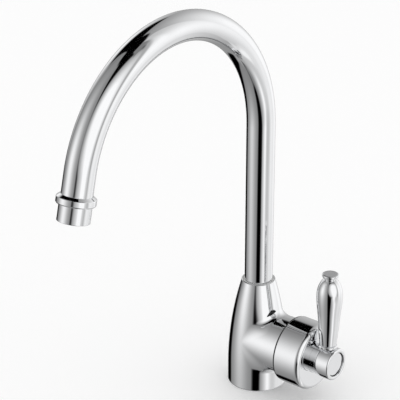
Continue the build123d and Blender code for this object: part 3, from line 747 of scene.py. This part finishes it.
class TAP_OT_outlet(TapOperator, bpy.types.Operator):
    """Build the bead and the aerator's shell at the end of the spout"""

    bl_idname = "tap.outlet"
    bl_label = "Outlet"

    def build(self, scene):
        sizes = scene.tap_spout
        place = (*bend(sizes, sizes.bend_turn), X)
        bore, radius = sizes.tube_radius + SLIP, sizes.bead_radius
        start, end = sizes.bead_start, sizes.bead_end
        bead = outline([
            (bore, start), (bore + 0.45 * MM, start, 0.12 * MM),
            (radius - 0.3 * MM, start + 1.9 * MM, 0.3 * MM), (radius, start + 2.3 * MM, 0.3 * MM),
            (radius, end - 0.9 * MM, 0.4 * MM), (radius - 0.6 * MM, end, 0.2 * MM),
            (THREAD_BORE, end), (THREAD_BORE, sizes.tube_end + 0.1 * MM),
            (bore, sizes.tube_end + 0.1 * MM)], closed=True, steps=6)
        turned_piece("outlet_bead", bead, place, "spout", ["nozzle_collar"], "chrome")
        top, open_end = end + 0.15 * MM, sizes.outlet_end
        lip = open_end - 2.3 * MM
        shell = outline([
            (SHELL_BORE, SHELL_TOP), (SHELL_THREAD, SHELL_TOP), (SHELL_THREAD, top),
            (sizes.shell_radius, top, 0.15 * MM), (sizes.shell_radius, open_end, 0.35 * MM),
            (SHELL_BORE - 0.1 * MM, open_end, 0.3 * MM), (SHELL_BORE - 0.6 * MM, lip),
            (SHELL_BORE, lip)], closed=True, steps=6)
        turned_piece("outlet_shell", shell, place, "spout", ["aerator_shell"], "chrome")


class TAP_OT_hub(TapOperator, bpy.types.Operator):
    """Build the hub with its index plate and ring"""

    bl_idname = "tap.hub"
    bl_label = "Hub"

    def build(self, scene):
        sizes = scene.tap_handle
        face, seat = HUB_HIGH.x, PLATE_LOW.x - SLIP
        place = (AXIS_HEIGHT * Z, X, Z)
        hub = outline([
            (0, HUB_LOW.x), (sizes.stem_radius, HUB_LOW.x),
            (sizes.stem_radius, sizes.hub_start, 0.3 * MM),
            (sizes.hub_back_radius, sizes.hub_start, 0.3 * MM), (sizes.hub_radius, face, sizes.lip),
            (sizes.recess, face, 0.8 * MM), (sizes.recess, seat), (0, seat)], steps=12)
        turned_piece("hub_shell", hub, place, "handle", ["lever_hub"], "chrome", closed=False,
                     around=256)
        plate = outline([
            (0, PLATE_LOW.x), (sizes.plate_radius, PLATE_LOW.x),
            (sizes.plate_radius, PLATE_HIGH.x, 0.3 * MM), (0, PLATE_HIGH.x)], steps=8)
        turned_piece("index_cap", plate, place, "handle", ["index_plate"], "chrome", closed=False)
        inner, outer = sizes.plate_radius + SLIP, sizes.recess - SLIP
        front = PLATE_HIGH.x - 0.4 * MM
        ring = outline([(inner, PLATE_LOW.x), (outer, PLATE_LOW.x), (outer, front, 0.2 * MM),
                        (inner, front, 0.2 * MM)], closed=True, steps=4)
        turned_piece("index_seal", ring, place, "handle", ["index_ring"], "black_rubber")


# Heights on the lever, in mm
COLLAR_FROM, COLLAR_TO = 58.6, 61.2                     # ring at its foot
GRIP_FOOT, GRIP_FROM, GRIP_TO = 61.6, 62.8, 125.0       # lower face, end of its rounding, top
KNOB_FROM, KNOB_SWELL = 126.2, 127.4                    # the knob widens between these
STUD_END = 127.2                                        # of the stud's hole in the knob

# Radii on the lever, in mm
GRIP_FOOT_RADIUS = 6.6     # of the grip's flat lower face
KNOB_NECK, INLAY_SEAT = 5.2, 6.2

# Grip's radius by height, in mm
GRIP = ((GRIP_FROM, 7.6), (76.0, 8.9), (90.0, 9.9), (109.2, 11.4), (115.5, 10.7), (121.5, 8.3),
        (GRIP_TO, 5.3))
GRIP_SLOPES = (0.1, -1.33)
FOOT_ROWS, SWELL_ROWS = 10, 110


def grip_outline():
    """The grip's outline: a quarter of an ellipse 1 mm wide at its foot, and GRIP's spline."""
    turn = np.linspace(-math.pi / 2, 0, FOOT_ROWS)[:, None]
    foot = np.concatenate([GRIP_FOOT_RADIUS + np.cos(turn),
                           GRIP_FROM + (GRIP_FROM - GRIP_FOOT) * np.sin(turn)], axis=1)
    height = np.linspace(GRIP_FROM, GRIP_TO, SWELL_ROWS)
    swell = np.stack([spline(GRIP, GRIP_SLOPES, height), height], axis=1)
    core = [(STUD_BORE / MM, GRIP_TO), (STUD_BORE / MM, GRIP_FOOT)]
    return np.concatenate([foot, swell[1:], core]) * MM


class TAP_OT_lever(TapOperator, bpy.types.Operator):
    """Build the lever: its foot ring, its grip and the knob with its inlay"""

    bl_idname = "tap.lever"
    bl_label = "Lever"

    def build(self, scene):
        sizes = scene.tap_handle
        lever_x = (COLLAR_LOW.x + COLLAR_HIGH.x) / 2
        place = (lever_x * X, Z, X)
        foot = outline([
            (STUD_BORE, COLLAR_LOW.z), (sizes.foot_radius, COLLAR_LOW.z),
            (sizes.foot_radius, COLLAR_FROM * MM, 0.4 * MM),
            (sizes.collar_radius, COLLAR_FROM * MM, 0.9 * MM),
            (sizes.collar_radius, COLLAR_TO * MM, 0.9 * MM),
            (GRIP_FOOT_RADIUS * MM, COLLAR_HIGH.z, 0.2 * MM), (STUD_BORE, COLLAR_HIGH.z)],
            closed=True)
        turned_piece("lever_foot", foot, place, "handle", ["lever_collar"], "chrome")
        turned_piece("lever_shell", grip_outline(), place, "handle", ["lever_grip"], "chrome")
        top, neck, seat = FINIAL_HIGH.z, KNOB_NECK * MM, INLAY_SEAT * MM
        knob = outline([
            (0, top - 0.8 * MM), (seat, top - 0.8 * MM), (seat, top - 0.15 * MM, 0.15 * MM),
            (sizes.finial_radius, top - 0.35 * MM, 0.8 * MM),
            (sizes.finial_radius, KNOB_SWELL * MM, 1.2 * MM),
            (neck, KNOB_FROM * MM, 0.5 * MM), (neck, FINIAL_LOW.z),
            (STUD_BORE, FINIAL_LOW.z), (STUD_BORE, STUD_END * MM), (0, STUD_END * MM)])
        turned_piece("lever_knob", knob, place, "handle", ["lever_finial"], "chrome", closed=False)
        radius, low, high = seat - 0.1 * MM, top - 0.75 * MM, top - 0.1 * MM
        disc = outline([(0, low), (radius, low), (radius, high, 0.25 * MM), (0, high)])
        turned_piece("knob_inlay", disc, place, "handle", ["finial_disc"], "grey_metal",
                     closed=False)


# Pieces that reach lower than this are kept out of the chrome, where no floor would hide them
UNDER_WORKTOP = -5 * MM


class TAP_OT_finishes(TapOperator, bpy.types.Operator):
    """Give every CAD node that stays its slot's finish"""

    bl_idname = "tap.finishes"
    bl_label = "Finishes of the inner pieces"

    def build(self, scene):
        for row in frame["record"]["subparts"]:
            piece = frame["nodes"][row["node"]]
            piece.data.materials.clear()
            piece.data.materials.append(slot_finish(row["material_slot"]))
            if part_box(row["node"])[0].z < UNDER_WORKTOP:
                piece.visible_glossy = False


# Where the camera stands and what it looks at, in metres
CAMERA_PLACE = (0.79809, -1.04798, 0.75980)
CAMERA_AIM = (-0.04026, -0.03326, 0.17726)


class TAP_OT_stage(TapOperator, bpy.types.Operator):
    """Set the floor, the light and the camera"""

    bl_idname = "tap.stage"
    bl_label = "Stage"

    def build(self, scene):
        stage = scene.tap_stage
        half = stage.floor_size / 2
        mesh = bpy.data.meshes.new("floor")
        corners = [(-half, -half, 0), (half, -half, 0), (half, half, 0), (-half, half, 0)]
        mesh.from_pydata(corners, [], [(0, 1, 2, 3)])
        floor = bpy.data.objects.new("floor", mesh)
        scene.collection.objects.link(floor)
        mesh.materials.append(floor_finish(stage))
        scene.world = studio_world(stage)
        scene.camera = photo_camera(scene, stage)
        scene.view_settings.view_transform = "Standard"


def for_rays(tree, kind, usual, other):
    """The usual shader, and for one kind of ray the other."""
    ray = tree.nodes.new("ShaderNodeLightPath")
    mix = tree.nodes.new("ShaderNodeMixShader")
    for output, socket in zip((ray.outputs[kind], usual, other), mix.inputs):
        tree.links.new(output, socket)
    return mix.outputs["Shader"]


def floor_finish(stage):
    """Pale floor, left out of the mirror images."""
    finish = bpy.data.materials.new("pale_floor")
    finish.use_nodes = True
    tree = finish.node_tree
    shader = tree.nodes["Principled BSDF"]
    shader.inputs["Base Color"].default_value = (*stage.floor, 1)
    shader.inputs["Roughness"].default_value = 0.9
    clear = tree.nodes.new("ShaderNodeBsdfTransparent")
    seen = for_rays(tree, "Is Glossy Ray", shader.outputs["BSDF"], clear.outputs["BSDF"])
    tree.links.new(seen, tree.nodes["Material Output"].inputs["Surface"])
    return finish


class Lamp(typing.NamedTuple):
    """A soft lamp or a stretch of wall as the chrome sees it, in degrees round the tap.

    A width and a height are measured from the middle. Levels go from 0, black, to 1, white,
    and a level over 1 shows as white.
    """

    azimuth: float
    elevation: float
    width: float
    height: float
    edge: tuple             # softness of the sides, or of a round rim, and of top and bottom
    level: float
    lean: float = 0.0       # degrees that the middle moves sideways for each degree up
    round: bool = False
    spot: tuple = None      # bright spot: azimuth, elevation, width, height and level


# The studio round the tap, each over the ones before it
STUDIO = (
    Lamp(0, -88.4, 400, 15.7, (1, 4), 0.594),                                   # floor
    Lamp(-58.4, -77.7, 27.4, 19.3, (8, 5), 0.37),                               # its near edge
    Lamp(-125.4, -1.3, 53.4, 80.7, (7, 3), 0.515, spot=(-126, 4.4, 31.3, 42, 0.974)),   # left wall
    Lamp(-177, 48, 7, 30, (3, 4), 0.5),                                         # far corner
    Lamp(152, 9.5, 31, 25, (8, 6), 0.6, spot=(154, 14, 18, 18, 0.98)),          # far lamp
    # pale table, and its end
    Lamp(20.9, -47.5, 69.9, 31.5, (5, 5), 0.5, lean=0.3, spot=(38.3, -27.6, 48.9, 79.9, 0.9)),
    Lamp(115, -45.5, 32.2, 31, (3.5, 5), 0.567),
    # glow under the round lamp, the lamp itself, its bright middle and a small glow below
    Lamp(-8.8, -24.8, 22.3, 43, (0.71, 0), 0.81, round=True, spot=(-9.6, -36.6, 9.7, 20.5, 0.99)),
    Lamp(-23.1, 24.7, 50.9, 38.2, (0.12, 0), 0.52, round=True,
         spot=(-31.2, 26.6, 29.7, 25.5, 0.975)),
    Lamp(-12.1, 13.4, 33.5, 29.6, (0.775, 0), 1.02, round=True,
         spot=(-15.6, -1.2, 11.4, 26.5, 1.72)),
    Lamp(4.5, -21.1, 14, 6.8, (0.9, 0), 0.75, round=True, spot=(-19.3, -15, 11.2, 32.7, 0.8)),
    # streaks on the table, and a patch high over it
    Lamp(40.7, -48.7, 5.9, 31.3, (6, 8), 0.877),
    Lamp(26, -52.9, 7.3, 10.4, (0.53, 0), 0.96, round=True),
    Lamp(24.1, 58.5, 13.9, 10.3, (2.5, 2), 0.483),
    # right wall, and three upright strips beside it
    Lamp(90.3, 1.9, 37, 68.4, (3, 2), 0.512, spot=(78.2, -4.5, 44.1, 54.5, 1.03)),
    Lamp(24.4, 16.4, 5.6, 33.7, (3, 6), 0.665, lean=0.23),
    Lamp(37.4, 20.4, 9.4, 48, (3, 3), 0.547, lean=0.18, spot=(44.6, 1.6, 35.6, 58.7, 1.06)),
    Lamp(49, 3.6, 10.2, 61.2, (3, 3), 0.738, spot=(42, -2.4, 60.6, 41.2, 0.99)),
)


SQUARENESS = 2.5           # of the round lamps: 2 is an ellipse, more is fuller at the corners
DISPLAY_GAMMA = 2.2        # levels are as shown on a display
WHITE = (1, 1, 1, 1)


class Sums:
    """Makes the math nodes of one node tree."""

    def __init__(self, tree):
        self.tree = tree

    def feed(self, socket, value):
        """Links a socket's output into this one, or sets a number on it."""
        if isinstance(value, bpy.types.NodeSocket):
            self.tree.links.new(value, socket)
        else:
            socket.default_value = value

    def __call__(self, operation, *values):
        """The output of a new math node with these values."""
        node = self.tree.nodes.new("ShaderNodeMath")
        node.operation = operation
        for socket, value in zip(node.inputs, values):
            self.feed(socket, value)
        return node.outputs["Value"]

    def fade(self, value, middle, edge):
        """1 well under the middle value, 0 well over it, and smooth between."""
        node = new_node(self.tree, "ShaderNodeMapRange", {
            "From Min": middle - edge, "From Max": middle + edge, "To Min": 1.0, "To Max": 0.0})
        node.interpolation_type = "SMOOTHSTEP"
        self.feed(node.inputs["Value"], value)
        return node.outputs["Result"]


def reach(sums, sides, sizes, power):
    """Both distances from the middle, each divided by its size and to this power, summed."""
    parts = [sums("POWER", sums("DIVIDE", sums("ABSOLUTE", side), size), power)
             for side, size in zip(sides, sizes)]
    return sums("ADD", *parts)


def add_lamp(sums, lamp, azimuth, elevation, below):
    """The level with this lamp over what lies below it."""
    rise = sums("SUBTRACT", elevation, lamp.elevation)
    middle = sums("MULTIPLY_ADD", rise, lamp.lean, lamp.azimuth)
    across = sums("WRAP", sums("SUBTRACT", azimuth, middle), -180.0, 180.0)
    if lamp.round:
        total = reach(sums, (across, rise), (lamp.width, lamp.height), SQUARENESS)
        shape = sums.fade(sums("POWER", total, 1 / SQUARENESS), 1.0, lamp.edge[0])
    else:
        shape = sums("MULTIPLY", sums.fade(sums("ABSOLUTE", across), lamp.width, lamp.edge[0]),
                     sums.fade(sums("ABSOLUTE", rise), lamp.height, lamp.edge[1]))
    level = spot_level(sums, lamp, azimuth, elevation) if lamp.spot else lamp.level
    return sums("MULTIPLY_ADD", sums("SUBTRACT", level, below), shape, below)


def spot_level(sums, lamp, azimuth, elevation):
    """The lamp's level with its bright spot, which fades as e to the minus distance squared."""
    spot_azimuth, spot_elevation, width, height, bright = lamp.spot
    across = sums("WRAP", sums("SUBTRACT", azimuth, spot_azimuth), -180.0, 180.0)
    rise = sums("SUBTRACT", elevation, spot_elevation)
    total = reach(sums, (across, rise), (width, height), 2.0)
    glow = sums("EXPONENT", sums("MULTIPLY", total, -1.0))
    return sums("MULTIPLY_ADD", glow, bright - lamp.level, lamp.level)


def studio_world(stage):
    """White to the camera, plain light on the object, and the studio in its mirror images."""
    world = bpy.data.worlds.new("studio")
    world.use_nodes = True
    tree = world.node_tree
    nodes, links = tree.nodes, tree.links
    sums = Sums(tree)
    place = nodes.new("ShaderNodeTexCoord")
    split = nodes.new("ShaderNodeSeparateXYZ")
    links.new(place.outputs["Generated"], split.inputs["Vector"])
    x, y, z = split.outputs
    azimuth = sums("DEGREES", sums("ARCTAN2", y, x))
    elevation = sums("DEGREES", sums("ARCSINE", z))
    level = stage.shade
    for lamp in STUDIO:
        level = add_lamp(sums, lamp, azimuth, elevation, level)
    shown = sums("POWER", sums("MINIMUM", level, 1.0), DISPLAY_GAMMA)

    light = nodes["Background"]
    light.inputs["Color"].default_value = WHITE
    light.inputs["Strength"].default_value = stage.fill
    mirrored = new_node(tree, "ShaderNodeBackground", {"Color": WHITE})
    white = new_node(tree, "ShaderNodeBackground", {"Color": WHITE})
    links.new(sums("MULTIPLY", shown, stage.lamp_strength), mirrored.inputs["Strength"])
    seen = light.outputs["Background"]
    for kind, shader in (("Is Glossy Ray", mirrored), ("Is Camera Ray", white)):
        seen = for_rays(tree, kind, seen, shader.outputs["Background"])
    links.new(seen, nodes["World Output"].inputs["Surface"])
    return world


def photo_camera(scene, stage):
    """The camera of the photograph."""
    data = bpy.data.cameras.new("photo_camera")
    data.lens = stage.lens
    data.sensor_width = stage.sensor
    camera = bpy.data.objects.new("photo_camera", data)
    scene.collection.objects.link(camera)
    camera.location = CAMERA_PLACE
    aim = Vector(CAMERA_AIM) - Vector(CAMERA_PLACE)
    camera.rotation_euler = aim.to_track_quat("-Z", "Y").to_euler()
    return camera


class TAP_PT_tap(bpy.types.Panel):
    """The tap's tools, in the order in which they are used"""

    bl_idname = "TAP_PT_tap"
    bl_label = "Filtered water tap"
    bl_space_type = "VIEW_3D"
    bl_region_type = "UI"
    bl_category = "Tap"

    def draw(self, context):
        for operator in OPERATORS:
            self.layout.operator(operator.bl_idname)
        for name, group in GROUPS:
            for field in group.__annotations__:
                self.layout.prop(getattr(context.scene, name), field)


OPERATORS = (TAP_OT_finishes, TAP_OT_body, TAP_OT_bonnet, TAP_OT_spout, TAP_OT_outlet, TAP_OT_hub,
             TAP_OT_lever, TAP_OT_stage)
GROUPS = (("tap_spout", TapSpoutSizes), ("tap_body", TapBodySizes), ("tap_handle", TapHandleSizes),
          ("tap_finishes", TapFinishes), ("tap_stage", TapStage))


def register():
    """Adds the tap's settings, tools and panel."""
    for name, group in GROUPS:
        bpy.utils.register_class(group)
        setattr(bpy.types.Scene, name, bpy.props.PointerProperty(type=group))
    for item in (*OPERATORS, TAP_PT_tap):
        bpy.utils.register_class(item)


def unregister():
    """Takes the tap's settings, tools and panel away again."""
    for item in reversed((*OPERATORS, TAP_PT_tap)):
        bpy.utils.unregister_class(item)
    for name, group in reversed(GROUPS):
        delattr(bpy.types.Scene, name)
        bpy.utils.unregister_class(group)


def main():
    """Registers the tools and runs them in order."""
    register()
    bpy.ops.tap.finishes()
    bpy.ops.tap.body()
    bpy.ops.tap.bonnet()
    bpy.ops.tap.spout()
    bpy.ops.tap.outlet()
    bpy.ops.tap.hub()
    bpy.ops.tap.lever()
    bpy.ops.tap.stage()


if __name__ == "__main__":
    main()
